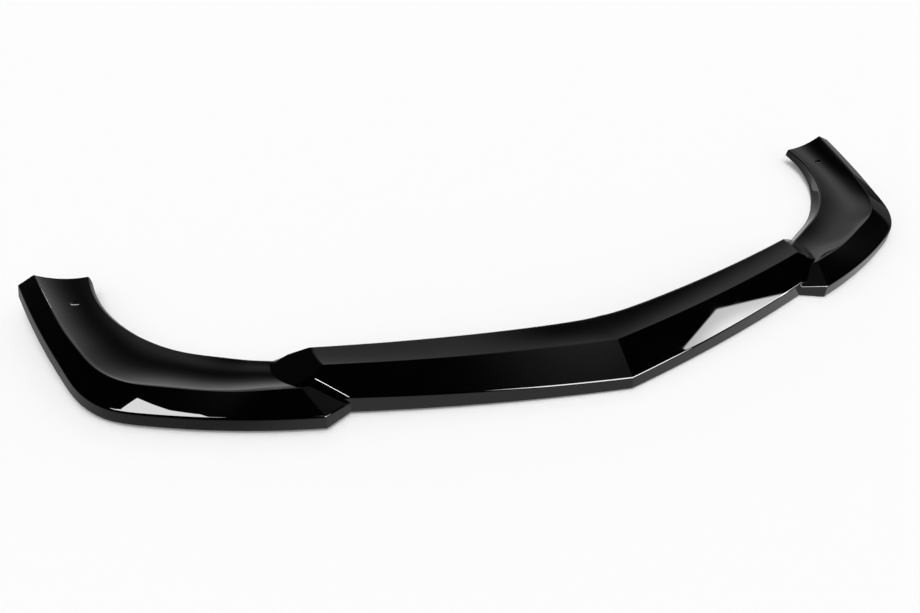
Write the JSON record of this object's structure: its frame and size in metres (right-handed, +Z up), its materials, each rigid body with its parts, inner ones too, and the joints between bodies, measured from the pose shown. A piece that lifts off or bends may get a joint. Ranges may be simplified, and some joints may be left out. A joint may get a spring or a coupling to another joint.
{
  "type": "front splitter lip",
  "caption": "Gloss black moulded front splitter lip: V-nosed sloping centre bar, stepped fins, and swept wings with a rounded ridge, a hollow cove and a dimpled screw hole near each tip.",
  "frame": {"origin": "middle of the overall box at ground level, on the plane that mirrors left onto right", "axes": "+X along the lip's width, -Y towards the nose at the car's front, +Z up from the lower rim"},
  "size_m": [1.8118, 0.557, 0.06],
  "materials": {
    "lip_plastic": "gloss black moulded plastic"
  },
  "bodies": {
    "root": {"splitter_lip": "lip_plastic"}
  },
  "joints": []
}
